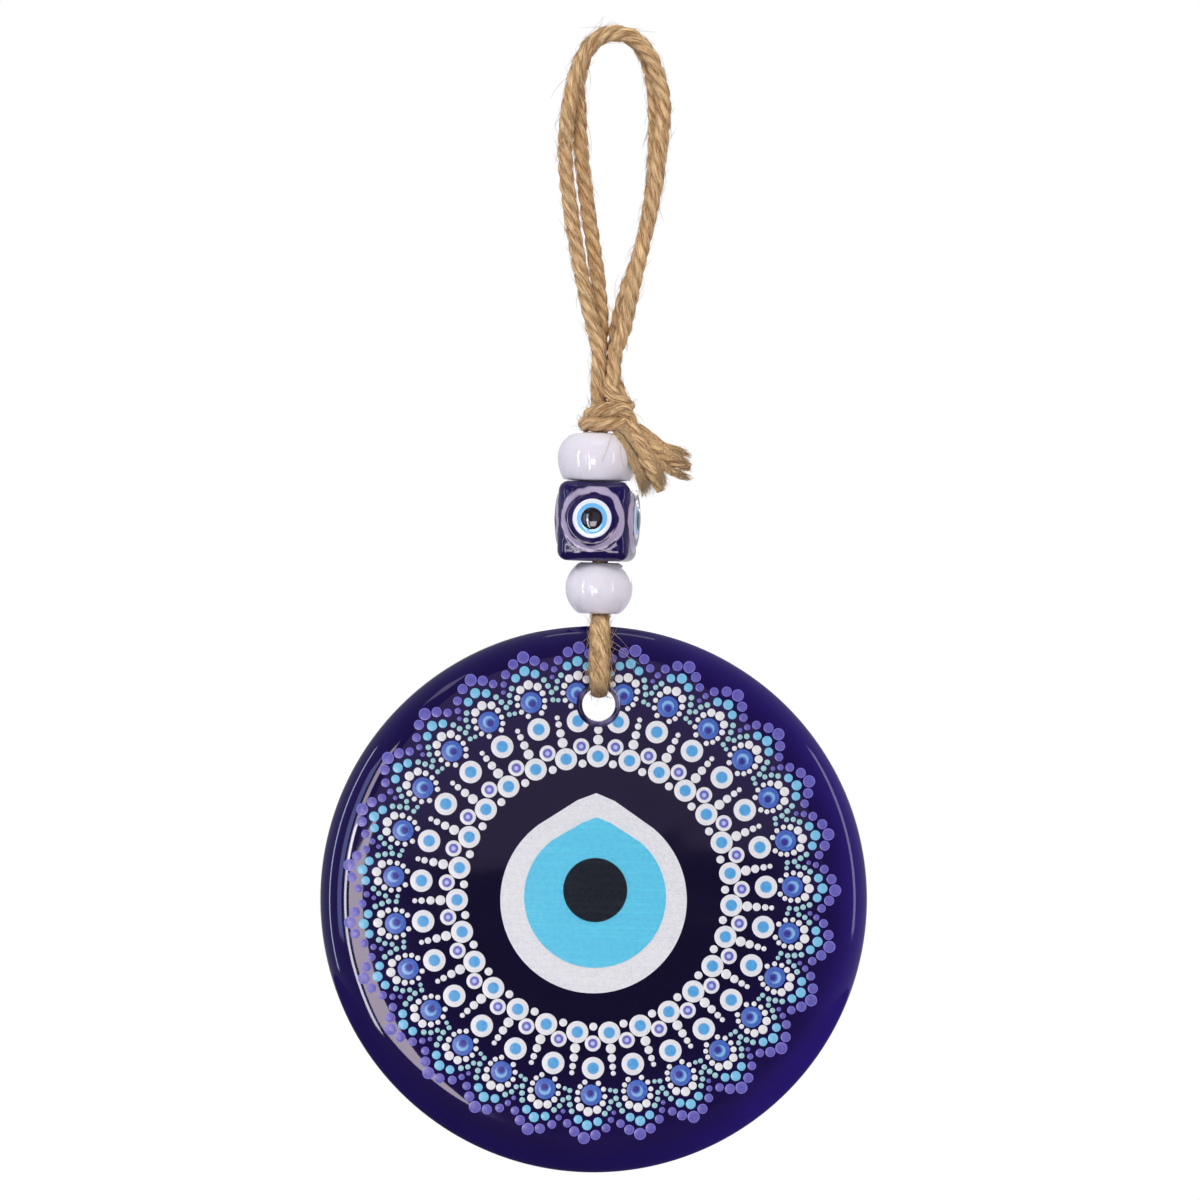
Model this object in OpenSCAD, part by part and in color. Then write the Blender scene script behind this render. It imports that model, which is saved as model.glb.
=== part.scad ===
// Evil eye ornament: a glass disc and three beads hung on one doubled jute cord.
// Units are millimetres. +Z is up, the printed face looks along -Y, and the
// origin is the point inside the crown of the loop where a nail would sit.

/* [Glass disc] */
// Diameter of the glass disc
disc_diameter = 120; // [110:1:130]
// Thickness of the glass disc
disc_thickness = 8; // [7.6:0.1:8]
// Width of the rounded band at the rim
rim_width = 6; // [4:0.5:8]
// Height of the disc centre below the loop crown
disc_drop = 188.2; // [188:0.2:190]
// Diameter of the cord hole in the glass
hole_diameter = 7.2; // [7.2:0.1:8.6]
// Height of the cord hole above the disc centre
hole_rise = 42.7; // [42.5:0.1:42.9]

/* [Printed eye] */
// Outer diameter of the printed dot band
band_diameter = 108; // [104:1:108]
// Diameter of the open middle of the dot band
band_opening = 51; // [50:0.5:53]
// Diameter of the round part of the white drop
white_diameter = 40.8; // [38:0.2:42]
// Diameter of the round part of the turquoise drop
iris_diameter = 31; // [28:0.2:33]
// Diameter of the black pupil
pupil_diameter = 14; // [12:0.2:16]

/* [White beads] */
// Diameter of the upper barrel bead
upper_bead_diameter = 17.4; // [16:0.1:17.6]
// Height of the upper barrel bead
upper_bead_height = 10.7; // [10:0.1:10.7]
// Diameter of the lower barrel bead
lower_bead_diameter = 14.7; // [13.5:0.1:15.5]
// Height of the lower barrel bead
lower_bead_height = 11.2; // [10.5:0.1:11.2]
// Bore of all three beads
bead_bore = 7.4; // [7.2:0.1:8]

/* [Cube bead] */
// Width of the cube bead
cube_width = 15.8; // [15.5:0.1:16.4]
// Height of the cube bead
cube_height = 17.4; // [16.5:0.1:17.4]
// Rounding of the cube corners
cube_rounding = 2.2; // [1.6:0.1:2.6]
// Turn of the cube on the cord at rest, in degrees
cube_turn = -8; // [-20:0.5:20]
// Diameter of the white of each small eye
small_white_diameter = 8.6; // [8:0.1:9.4]
// Diameter of the pupil of each small eye
small_pupil_diameter = 4.8; // [4:0.1:5.4]

/* [Cord] */
// Diameter of the jute cord
cord_diameter = 2.9; // [2.7:0.05:2.9]

/* [Hidden] */

skin = 0.12;                       // thickness of one printed layer
face_y = -disc_thickness / 2;      // front face of the glass
cord_sides = 8;

upper_bead_at = [-1.7, 0, -91.25];
cube_at = [-1.3, 0, -105.35];
lower_bead_at = [-0.6, 0, -120.0];
boss_radius = 6.4;                 // raised round field under each small eye
boss_lift = 0.5;                   // the small eyes sit this much above the cube's middle
boss_height = 0.8;
inlay = 0.25;                      // thickness of one small-eye layer

glass_blue = [0.13, 0.08, 0.36];
ink_dark = [0.08, 0.05, 0.18];
ink_white = [0.9, 0.9, 0.88];
ink_turquoise = [0.3, 0.77, 0.9];
ink_black = [0.05, 0.07, 0.07];
bead_white = [0.93, 0.92, 0.95];
cube_blue = [0.1, 0.12, 0.5];
jute = [0.77, 0.6, 0.41];

// ---- cord routes, point by point, in millimetres ----
loop_front_route = [
    [-2.1, -1.7, -75], [-2.1, -1.7, -68], [-3.1, -1.7, -64], [-5.4, -1.7, -55],
    [-7.6, -1.7, -45], [-9.2, -1.7, -36], [-10.4, -1.7, -27], [-10.3, -1.7, -18],
    [-9, -1.7, -9], [-6.4, -1.7, -2], [-3.4, -1.7, 0.9], [0.2, -1.7, 1.8],
    [3.8, -1.7, 0.8], [7.2, -1.7, -2.6], [9.6, -1.7, -8], [10.8, -1.7, -14],
    [10.2, -1.7, -24], [9, -1.7, -34], [7, -1.7, -44.5], [4.9, -1.7, -55],
    [3.2, -1.7, -64], [1.8, -1.7, -68], [1.4, -1.7, -75]
];
loop_back_route = [
    [-2, 1.7, -75], [-1.9, 1.7, -68], [-1.6, 1.7, -62], [-2.4, 1.7, -54],
    [-3.8, 1.7, -45], [-5.4, 1.7, -36], [-6.8, 1.7, -26], [-7.7, 1.7, -16],
    [-8, 1.7, -8.5], [-6.2, 1.7, -2], [-3.4, 1.7, 0.9], [0.2, 1.7, 1.8],
    [3.5, 1.7, 0.8], [6.3, 1.7, -2.4], [8.2, 1.7, -8], [9, 1.7, -15],
    [9.1, 1.7, -25], [8.6, 1.7, -34], [6.8, 1.7, -45], [3.6, 1.7, -55],
    [2, 1.7, -62], [1.6, 1.7, -68], [1.4, 1.7, -75]
];
tail_upper_route = [
    [3.4, 0.6, -82.6], [6.2, 0.2, -84.8], [8.6, 0, -86.8], [11.4, 0, -89.2],
    [14.8, 0, -91.4], [18.8, 0, -93]
];
tail_lower_route = [
    [2.6, -2.4, -82], [5.4, -4, -84.6], [7.4, -5.2, -88.2], [9.2, -5.4, -91.8],
    [10.9, -5.4, -95.2], [12.4, -5.4, -98.6]
];
leg_front_route = [[-1.3, -1.7, -84], [-1.1, -1.7, -98], [-0.6, -1.7, -112],
                   [-0.2, -1.7, -124], [-0.2, -1.7, -126]];
leg_back_route = [[-1.3, 1.7, -84], [-1.1, 1.7, -98], [-0.6, 1.7, -112],
                  [-0.2, 1.7, -124], [-0.2, 1.7, -126]];
// the front half of the turn through the hole; the back half is its mirror
bight_half = [[-0.2, -1.7, -126], [-0.2, -1.7, -126.4], [-0.2, -3.8, -128.3],
              [-0.1, -5.7, -131.4], [0, -6.1, -136], [0, -6, -140.1],
              [0, -5.6, -141.8], [0, -4.6, -143], [0, -2.4, -143.5]];
bight_route = concat(bight_half, [for (i = [len(bight_half) - 1 : -1 : 0])
    [bight_half[i][0], -bight_half[i][1], bight_half[i][2]]]);

function unit(v) = v / norm(v);
function heading(p, i) = unit(p[min(i + 1, len(p) - 1)] - p[max(i - 1, 0)]);

// closed tube swept along a route; across is a direction the route never takes
module cord(route, across = [0, 1, 0]) {
    rings = [for (i = [0 : len(route) - 1])
        let (t = heading(route, i), u = unit(cross(across, t)), v = cross(t, u))
        for (k = [0 : cord_sides - 1])
            let (a = 360 * (k + 0.5) / cord_sides)
            route[i] + cord_diameter / 2 * (cos(a) * u + sin(a) * v)];
    walls = [for (i = [0 : len(route) - 2]) for (k = [0 : cord_sides - 1])
        let (a = i * cord_sides + k, b = i * cord_sides + (k + 1) % cord_sides)
        for (f = [[a, a + cord_sides, b], [b, a + cord_sides, b + cord_sides]]) f];
    first = [for (k = [0 : cord_sides - 1]) k];
    last = [for (k = [cord_sides - 1 : -1 : 0]) (len(route) - 1) * cord_sides + k];
    color(jute) polyhedron(points = rings, faces = concat([first], walls, [last]));
}

// ---- glass disc and its print ----
module disc_profile() {
    flat = disc_diameter / 2 - rim_width;
    polygon(concat([[0, face_y], [flat, face_y]],
        [for (a = [-75 : 15 : 75]) [flat + rim_width * cos(a), -face_y * sin(a)]],
        [[flat, -face_y], [0, -face_y]]));
}

module hole_cutter() {
    r = hole_diameter / 2;
    lip = 1.2;
    rotate_extrude($fn = 96)
        polygon(concat([[0, face_y - 1], [r + lip, face_y - 1]],
            [for (a = [0 : 15 : 90]) [r + lip - lip * sin(a), face_y + lip - lip * cos(a)]],
            [for (a = [90 : -15 : 0]) [r + lip - lip * sin(a), -face_y - lip + lip * cos(a)]],
            [[r + lip, 1 - face_y], [0, 1 - face_y]]));
}

module glass_disc() {
    color(glass_blue) translate([0, 0, -disc_drop]) rotate([90, 0, 0])
        difference() {
            rotate_extrude($fn = 180) disc_profile();
            translate([0, hole_rise, 0]) hole_cutter();
        }
}

module on_face(layer) {
    translate([0, face_y - layer * skin, -disc_drop]) rotate([90, 0, 0]) children();
}

// a round drop with a soft point at its top
module drop_outline(d, rise) {
    polygon(concat([[0, rise], [-d * 0.1, rise * 0.93]],
        [for (a = [128 : 4 : 412]) d / 2 * [cos(a), sin(a)]],
        [[d * 0.1, rise * 0.93]]));
}

module dot_band() {
    color(ink_dark) on_face(0) difference() {
        cylinder(d = band_diameter, h = skin, $fn = 180);
        translate([0, 0, -1]) cylinder(d = band_opening, h = skin + 2, $fn = 120);
        translate([0, hole_rise, -1]) cylinder(d = hole_diameter + 3, h = skin + 2, $fn = 48);
    }
}

module eye_white() {
    color(ink_white) on_face(0) linear_extrude(skin)
        drop_outline(white_diameter, white_diameter * 0.573);
}

module eye_iris() {
    color(ink_turquoise) on_face(1) linear_extrude(skin)
        translate([0.3, 0.7]) drop_outline(iris_diameter, iris_diameter * 0.561);
}

module eye_pupil() {
    color(ink_black) on_face(2)
        translate([0.3, 2.2, 0]) cylinder(d = pupil_diameter, h = skin, $fn = 64);
}

// ---- barrel beads ----
// the side is a slice of an ellipsoid, and the ends are flat rings round the bore;
// low_share is the width left at the lower end, as a share of the diameter
module barrel_bead(at, d, h, low_share) {
    flat_share = 0.6;
    cut = acos(flat_share);
    low_cut = acos(low_share);
    color(bead_white) translate(at) rotate_extrude($fn = 120)
        polygon(concat([[bead_bore / 2, -h / 2]],
            [for (i = [-12 : 12]) let (c = i < 0 ? low_cut : cut)
                [d / 2 * cos(c * i / 12), h / 2 * sin(c * i / 12) / sin(c)]],
            [[bead_bore / 2, h / 2]]));
}
module upper_bead() { barrel_bead(upper_bead_at, upper_bead_diameter, upper_bead_height, 0.82); }
module lower_bead() { barrel_bead(lower_bead_at, lower_bead_diameter, lower_bead_height, 0.6); }

// ---- cube bead with a small eye on each side ----
// box with rounded edges and corners, as the hull of nested boxes
module rounded_box(size, r) {
    hull() for (a = [0 : 22.5 : 90], b = [0 : 22.5 : 90])
        cube(size - 2 * r * [1 - cos(a) * cos(b), 1 - sin(a) * cos(b), 1 - sin(b)],
             center = true);
}

module cube_bead() {
    sunk = 0.4;
    color(cube_blue) translate(cube_at) rotate([0, 0, cube_turn]) difference() {
        union() {
            rounded_box([cube_width, cube_width, cube_height], cube_rounding);
            for (a = [0 : 90 : 270]) rotate([0, 0, a]) rotate([90, 0, 0])
                translate([0, boss_lift, cube_width / 2 - sunk])
                    cylinder(r1 = boss_radius + 0.3, r2 = boss_radius - 0.7,
                             h = boss_height + sunk, $fn = 64);
        }
        cylinder(d = bead_bore, h = cube_height + 2, center = true, $fn = 64);
    }
}

// one round layer of a small eye; turn picks the side, layer the height
module small_eye_layer(turn, layer, d, tint) {
    color(tint) translate(cube_at) rotate([0, 0, cube_turn + turn]) rotate([90, 0, 0])
        translate([0, boss_lift, cube_width / 2 + boss_height + layer * inlay])
            cylinder(d1 = d, d2 = d - 0.3, h = inlay, $fn = 48);
}
small_blue_diameter = (small_white_diameter + small_pupil_diameter) / 2;

module front_white() { small_eye_layer(0, 0, small_white_diameter, ink_white); }
module front_blue() { small_eye_layer(0, 1, small_blue_diameter, ink_turquoise); }
module front_pupil() { small_eye_layer(0, 2, small_pupil_diameter, ink_black); }
module right_white() { small_eye_layer(90, 0, small_white_diameter, ink_white); }
module right_blue() { small_eye_layer(90, 1, small_blue_diameter, ink_turquoise); }
module right_pupil() { small_eye_layer(90, 2, small_pupil_diameter, ink_black); }
module back_white() { small_eye_layer(180, 0, small_white_diameter, ink_white); }
module back_blue() { small_eye_layer(180, 1, small_blue_diameter, ink_turquoise); }
module back_pupil() { small_eye_layer(180, 2, small_pupil_diameter, ink_black); }
module left_white() { small_eye_layer(270, 0, small_white_diameter, ink_white); }
module left_blue() { small_eye_layer(270, 1, small_blue_diameter, ink_turquoise); }
module left_pupil() { small_eye_layer(270, 2, small_pupil_diameter, ink_black); }

// ---- one jute cord, cut into stretches ----
module loop_front_strand() { cord(loop_front_route); }
module loop_back_strand() { cord(loop_back_route); }
module tail_upper() { cord(tail_upper_route); }
module tail_lower() { cord(tail_lower_route); }
module leg_front() { cord(leg_front_route); }
module leg_back() { cord(leg_back_route); }
module cord_bight() { cord(bight_route, [1, 0, 0]); }

module cord_knot() {
    color(jute) hull() {
        translate([-0.3, 0, -76.8]) sphere(r = 3.3, $fn = 24);
        translate([3.2, 0, -80.6]) sphere(r = 3, $fn = 24);
        translate([-3.2, -0.6, -82.5]) sphere(r = 2.9, $fn = 24);
        translate([0, -2.6, -81.6]) sphere(r = 2.6, $fn = 24);
        translate([0, 2.6, -81.4]) sphere(r = 2.6, $fn = 24);
    }
}

glass_disc();
dot_band();
eye_white();
eye_iris();
eye_pupil();
upper_bead();
lower_bead();
cube_bead();
front_white();
front_blue();
front_pupil();
back_white();
back_blue();
back_pupil();
left_white();
left_blue();
left_pupil();
right_white();
right_blue();
right_pupil();
loop_front_strand();
loop_back_strand();
cord_knot();
tail_upper();
tail_lower();
leg_front();
leg_back();
cord_bight();
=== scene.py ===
import math
import random

import bmesh
import bpy
import numpy as np
from bpy.props import FloatProperty, FloatVectorProperty, IntProperty, PointerProperty
from bpy.types import Operator, Panel, PropertyGroup
from mathutils import Matrix, Vector, noise


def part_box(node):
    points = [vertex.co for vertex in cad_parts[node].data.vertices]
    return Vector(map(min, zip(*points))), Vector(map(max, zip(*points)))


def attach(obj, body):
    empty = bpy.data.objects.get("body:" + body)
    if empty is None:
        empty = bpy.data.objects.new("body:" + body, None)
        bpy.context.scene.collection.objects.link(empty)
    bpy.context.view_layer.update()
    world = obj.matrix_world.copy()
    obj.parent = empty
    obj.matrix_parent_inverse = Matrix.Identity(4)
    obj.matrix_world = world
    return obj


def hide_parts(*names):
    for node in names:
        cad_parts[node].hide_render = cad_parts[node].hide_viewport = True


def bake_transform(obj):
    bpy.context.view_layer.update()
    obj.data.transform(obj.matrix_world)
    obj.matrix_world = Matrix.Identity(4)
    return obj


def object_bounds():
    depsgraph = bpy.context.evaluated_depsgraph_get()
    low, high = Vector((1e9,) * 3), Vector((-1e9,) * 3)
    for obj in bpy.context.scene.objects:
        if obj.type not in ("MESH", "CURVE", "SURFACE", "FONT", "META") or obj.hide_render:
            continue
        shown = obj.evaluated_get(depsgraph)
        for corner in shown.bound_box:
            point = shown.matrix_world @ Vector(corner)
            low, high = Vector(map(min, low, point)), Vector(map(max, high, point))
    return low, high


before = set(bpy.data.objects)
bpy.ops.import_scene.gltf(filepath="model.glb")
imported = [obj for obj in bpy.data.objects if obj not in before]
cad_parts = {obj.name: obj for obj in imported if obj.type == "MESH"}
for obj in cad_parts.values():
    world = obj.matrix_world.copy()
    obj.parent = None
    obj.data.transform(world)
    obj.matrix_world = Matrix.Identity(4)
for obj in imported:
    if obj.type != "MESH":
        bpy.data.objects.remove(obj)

bl_info = {
    "name": "Evil eye ornament",
    "version": (1, 0, 0),
    "blender": (4, 5, 0),
    "location": "3D View > Sidebar > Ornament",
    "description": "Builds a hanging glass eye charm with beads on a jute cord",
    "category": "Add Mesh",
}

MM = 0.001
CAD_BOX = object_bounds()

# ---- places taken from the packed frame ----
GLASS_LOW, GLASS_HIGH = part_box("glass_disc")
DISC_CENTRE = (GLASS_LOW + GLASS_HIGH) / 2
DISC_RADIUS = (GLASS_HIGH.z - GLASS_LOW.z) / 2
DISC_HALF = (GLASS_HIGH.y - GLASS_LOW.y) / 2
HOLE_CENTRE = DISC_CENTRE + Vector((0, 0, 42.7 * MM))
HOLE_RADIUS = 3.6 * MM
HOLE_LIP = 1.2 * MM
BEAD_BORE_RADIUS = 3.7 * MM
UPPER_LOW, UPPER_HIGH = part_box("upper_bead")
CUBE_AT = (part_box("cube_bead")[0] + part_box("cube_bead")[1]) / 2
CUBE_HALF = Vector((7.9, 7.9, 8.7)) * MM
CUBE_TURN = math.radians(-8)
BOSS_LIFT = 0.5 * MM
BOSS_RADIUS = 6.4 * MM

# ---- the cord's route in millimetres, as in the part's source ----
LOOP_FRONT = [
    (-1.9, -1.7, -75), (-2.0, -1.7, -68), (-3.1, -1.7, -64), (-5.4, -1.7, -55),
    (-7.6, -1.7, -45), (-9.2, -1.7, -36), (-10.4, -1.7, -27), (-10.3, -1.7, -18),
    (-9, -1.7, -9), (-6.4, -1.7, -2), (-3.4, -1.7, 0.9), (0.2, -1.7, 1.8),
    (3.8, -1.7, 0.8), (7.2, -1.7, -2.6), (9.6, -1.7, -8), (10.8, -1.7, -14),
    (10.2, -1.7, -24), (9, -1.7, -34), (7, -1.7, -44.5), (4.9, -1.7, -55),
    (3.1, -1.7, -64), (1.7, -1.7, -68), (1.2, -1.7, -74),
]
LOOP_BACK = [
    (-1.8, 1.7, -75), (-1.8, 1.7, -68), (-1.6, 1.7, -62), (-2.4, 1.7, -54),
    (-3.8, 1.7, -45), (-5.4, 1.7, -36), (-6.8, 1.7, -26), (-7.7, 1.7, -16),
    (-8, 1.7, -8.5), (-6.2, 1.7, -2), (-3.4, 1.7, 0.9), (0.2, 1.7, 1.8),
    (3.5, 1.7, 0.8), (6.3, 1.7, -2.4), (8.2, 1.7, -8), (9, 1.7, -15),
    (9.1, 1.7, -25), (8.6, 1.7, -34), (6.8, 1.7, -45), (3.6, 1.7, -55),
    (2, 1.7, -62), (1.5, 1.7, -68), (1.3, 1.7, -74),
]
WRAP_FRONT = [
    (0.5, -2.9, -76.2), (1.4, -4.0, -77.9), (3.3, -3.3, -79.0), (4.6, -0.8, -79.8),
    (3.7, 2.8, -80.8), (0, 4.3, -82.2), (-3.4, 2.8, -83.4), (-4.5, -0.8, -84.1),
    (-3.0, -3.8, -84.1), (0.4, -4.8, -84.0), (3.4, -3.6, -83.4), (4.7, -1.0, -83.4),
]
WRAP_BACK = [
    (2.7, 1.0, -76.8), (2.9, 1.9, -78.6), (1.4, 3.5, -79.9), (-1.3, 3.5, -80.8),
    (-3.2, 1.5, -82.0), (-3.3, -1.8, -82.1), (-1.8, -4.0, -81.5), (0.8, -4.9, -80.9),
    (3.4, -4.3, -80.9), (4.9, -3.3, -82.3),
]
TAIL_UPPER = [(6.2, 0.2, -84.8), (8.6, 0, -86.8), (11.4, 0, -89.2), (14.8, 0, -91.4),
              (18.8, 0, -93)]
TAIL_LOWER = [(5.4, -4, -84.6), (7.4, -5.2, -88.2), (9.2, -5.4, -91.8), (10.9, -5.4, -95.2),
              (12.4, -5.4, -98.6)]
LEG_FRONT = [(-1.7, -1.7, -79.5), (-1.3, -1.7, -84), (-1.1, -1.7, -98), (-0.6, -1.7, -112),
             (-0.2, -1.7, -124)]
BIGHT_HALF = [
    (-0.2, -1.7, -126.2), (-0.2, -3.8, -128.3), (-0.1, -5.7, -131.4), (0, -6.1, -136),
    (0, -6, -140.1), (0, -5.6, -141.8), (0, -4.6, -143), (0, -2.4, -143.5),
]

# single fibres long enough to be seen on their own
LONG_HAIRS = [
    [(0.6, -6.6, -130.5), (4.2, -6.8, -132.6), (6.6, -6.2, -135.4), (7.6, -5.4, -138.2)],
    [(0.4, -5.2, -128.6), (3.4, -5.8, -130.2), (6.8, -5.8, -133.6)],
    [(0.8, -6.4, -131.8), (5.2, -6.6, -134.2), (8.8, -5.2, -136.4)],
    [(0.2, -7.4, -136), (2.6, -7.2, -135.2), (3.8, -6.6, -136.6), (3.2, -5.6, -138.6)],
    [(-1.2, -6.8, -137), (-3.4, -6.6, -138.2), (-4.6, -5.6, -140.4)],
    [(3.6, -6.2, -84), (1.4, -7.4, -86.6), (0.2, -8.8, -90.2), (-0.6, -9.0, -92.4)],
    [(4.2, -6.4, -84.6), (3.2, -7.8, -88.2), (3.8, -8.2, -92.4), (5.6, -7.6, -96)],
    [(5.2, -6.6, -85), (5.8, -7.4, -89.4), (6.2, -7.6, -94.6), (5.4, -8.4, -99.2)],
    [(-3.8, -5.6, -82.8), (-1.2, -7.0, -80.2), (2.6, -6.6, -78.2), (5.2, -5.0, -78.8)],
    [(-2.4, -3.6, -79.4), (-0.8, -5.6, -75.8), (2.2, -5.2, -75.4), (4.8, -3.6, -79.6)],
    [(-4.4, -5.2, -84.2), (-0.6, -7.0, -84.6), (3.4, -6.6, -82.6), (6.8, -4.2, -82)],
    [(-1.2, -6.8, -81.2), (1.4, -7.2, -79.6), (3.2, -6.6, -82.8), (2.0, -6.8, -85.4)],
]


def in_metres(points):
    return [Vector(p) * MM for p in points]


def mirrored(points):
    """The same points on the far side of the disc, in the opposite order."""
    return [(x, -y, z) for x, y, z in reversed(points)]


def cord_route():
    """One cord from the lower tail's end, through the loop and the disc, to the upper tail's end."""
    down = LEG_FRONT + BIGHT_HALF
    first_half = mirrored(down) + LOOP_BACK + WRAP_BACK + TAIL_LOWER
    return in_metres(first_half[::-1] + down[::-1] + LOOP_FRONT + WRAP_FRONT + TAIL_UPPER)


# ---------------------------------------------------------------- settings

def colour_setting(name, description, default):
    return FloatVectorProperty(name=name, description=description, default=default,
                               subtype="COLOR", size=3, min=0, max=1)


def length_setting(name, description, default):
    return FloatProperty(name=name, description=description, default=default,
                         unit="LENGTH", min=0, precision=4)


class CordSettings(PropertyGroup):
    """Sizes and colours of the jute cord."""
    radius: length_setting("Radius", "Radius of the twisted cord", 1.72 * MM)
    lay: length_setting("Lay", "Length of one full turn of the three plies", 10.5 * MM)
    ring_gap: length_setting("Ring gap", "Distance between mesh rings along the cord", 0.45 * MM)
    fuzz_count: IntProperty(name="Stray fibres", description="How many fibres stand off the cord",
                            default=2600, min=0)
    worn_fuzz_count: IntProperty(name="Worn fibres", description="How many more stand off the front turn",
                                 default=420, min=0)
    flattening: FloatProperty(name="Flattening", min=0.0, default=0.36,
                              description="Extra width where the cord is pressed on the disc")
    squash: FloatProperty(name="Squash", description="Share of its height the cord loses in the hole",
                          default=0.36, min=0.0, max=1.0)
    fray_fibres: IntProperty(name="Fray fibres", description="How many fibres each frayed end has",
                             default=900, min=10)
    light: colour_setting("Light fibre", "Colour of the lightest fibres", (1.0, 0.71, 0.36))
    tip: colour_setting("Tip colour", "Jute of the loose, untwisted ends", (1.0, 0.64, 0.33))
    middle: colour_setting("Middle fibre", "Colour of most of the jute", (0.93, 0.51, 0.21))
    # painted shade: the dark brown laid on the cord just above the hole, where it curves back out of the
    # light
    throat_shade: colour_setting("Rubbed colour", "Jute soiled by rubbing in the hole", (0.13, 0.06, 0.025))
    # painted shade: this dark colour is laid into the gaps between the fibres and between the plies
    dark: colour_setting("Dark crevice", "Colour between the plies", (0.34, 0.17, 0.06))


class GlassSettings(PropertyGroup):
    """Sizes and colours of the glass disc."""
    rim_width: length_setting("Rim width", "Width of the rounded band at the rim", 10 * MM)
    # middle, outer and rim are partly the glass's own colour and partly painted light: lighter and more
    # violet towards the thinner rim, where light shines through
    middle: colour_setting("Middle", "Glass colour under the middle of the print", (0.004, 0.002, 0.018))
    outer: colour_setting("Outer", "Glass colour outside the print", (0.0085, 0.003, 0.052))
    rim: colour_setting("Rim", "Glass colour at the rounded rim", (0.007, 0.002, 0.066))
    # painted reflection: the light grey-lavender of the hole's rounded mouth reflecting the white surround
    lip: colour_setting("Hole lip", "Clearer glass round the hole", (0.22, 0.19, 0.36))
    # painted light: a lighter violet on the right of the rim that stands in for light shining through the
    # glass
    painted_rim_light: colour_setting("Glow", "Lighter violet where the rim is thin", (0.022, 0.006, 0.18))


class PrintSettings(PropertyGroup):
    """Colours of the printed eye and its dots."""
    white: colour_setting("White", "Printed white", (0.78, 0.79, 0.77))
    turquoise: colour_setting("Turquoise", "Printed iris", (0.085, 0.56, 0.76))
    black: colour_setting("Black", "Printed pupil", (0.006, 0.010, 0.010))
    sky: colour_setting("Sky blue", "Centres of the ringed dots", (0.07, 0.36, 0.68))
    violet: colour_setting("Violet", "Small ringed dots", (0.13, 0.12, 0.47))
    purple: colour_setting("Purple", "Outermost dots", (0.12, 0.106, 0.42))
    cyan: colour_setting("Cyan", "Second row of outer dots", (0.19, 0.53, 0.74))
    mint: colour_setting("Mint", "Small greenish dots", (0.35, 0.61, 0.61))
    eye_blue: colour_setting("Eye blue", "Petal eyes", (0.045, 0.12, 0.46))
    eye_light: colour_setting("Eye light", "Light crescent of the petal eyes", (0.22, 0.46, 0.74))
    eye_navy: colour_setting("Eye navy", "Pupils of the petal eyes", (0.022, 0.018, 0.23))
    relief: length_setting("Relief", "How far the ink stands off the glass", 0.06 * MM)


class BeadSettings(PropertyGroup):
    """Sizes and colours of the three beads."""
    cube_rounding: length_setting("Cube rounding", "Radius of the cube bead's corners", 2.2 * MM)
    boss_rise: length_setting("Boss rise", "Height of the round field under each small eye", 0.8 * MM)
    white: colour_setting("White bead", "Colour of the barrel beads", (0.82, 0.79, 0.82))
    cobalt: colour_setting("Cobalt", "Colour of the cube bead", (0.007, 0.002, 0.05))
    # painted reflection: the lavender ring round each boss stands in for the lights reflected in its slope
    worn: colour_setting("Worn ring", "Rubbed ring round each small eye", (0.42, 0.36, 0.50))
    ring_white: colour_setting("Ring white", "White of each small eye", (0.84, 0.87, 0.90))
    ring_blue: colour_setting("Ring blue", "Light blue of each small eye", (0.15, 0.50, 0.87))
    ring_black: colour_setting("Ring black", "Pupil of each small eye", (0.006, 0.007, 0.009))


class StageSettings(PropertyGroup):
    """The floor, the lights and the camera."""
    floor_radius: length_setting("Floor radius", "Radius of the pale floor", 0.3)
    floor_drop: length_setting("Floor drop", "Gap between the ornament and the floor", 0.05)
    camera_distance: length_setting("Camera distance", "From the camera to the ornament", 1.2)
    frame_width: length_setting("Frame width", "Width seen at the ornament", 263.3 * MM)
    camera_roll: FloatProperty(name="Camera roll", description="Lean of the camera", unit="ROTATION",
                               default=math.radians(1.497))


GROUPS = {"charm_cord": CordSettings, "charm_glass": GlassSettings, "charm_print": PrintSettings,
          "charm_bead": BeadSettings, "charm_stage": StageSettings}


# ---------------------------------------------------------------- mesh helpers

def linked(name, data):
    """A new object in the scene that holds the data."""
    piece = bpy.data.objects.new(name, data)
    bpy.context.scene.collection.objects.link(piece)
    return piece


def new_piece(name, verts, faces, material, uvs=None, masks=None, corner_uvs=None):
    """A mesh object; uvs and masks give one value per vertex, corner_uvs one per face corner."""
    mesh = bpy.data.meshes.new(name)
    mesh.from_pydata([tuple(v) for v in verts], [], faces)
    mesh.update()
    mesh.polygons.foreach_set("use_smooth", [True] * len(mesh.polygons))
    if uvs is not None:
        layer = mesh.uv_layers.new(name="lay")
        corners = np.zeros(len(mesh.loops), dtype=np.int32)
        mesh.loops.foreach_get("vertex_index", corners)
        layer.data.foreach_set("uv", np.asarray(uvs, np.float32)[corners].ravel())
    if corner_uvs is not None:
        layer = mesh.uv_layers.new(name="lay")
        layer.data.foreach_set("uv", np.asarray(corner_uvs, np.float32).ravel())
    if masks is not None:
        # the mask carries painted shade in the hollows between a cord's plies
        attribute = mesh.attributes.new("hollow_shade", "FLOAT", "POINT")
        attribute.data.foreach_set("value", np.asarray(masks, np.float32))
    mesh.materials.append(material)
    return linked(name, mesh)


def settle(piece, body, slot, *nodes):
    """The piece rides on a body and stands for CAD nodes, which are hidden; the slot is not used."""
    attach(piece, body)
    if nodes:
        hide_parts(*nodes)
    return piece


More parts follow.
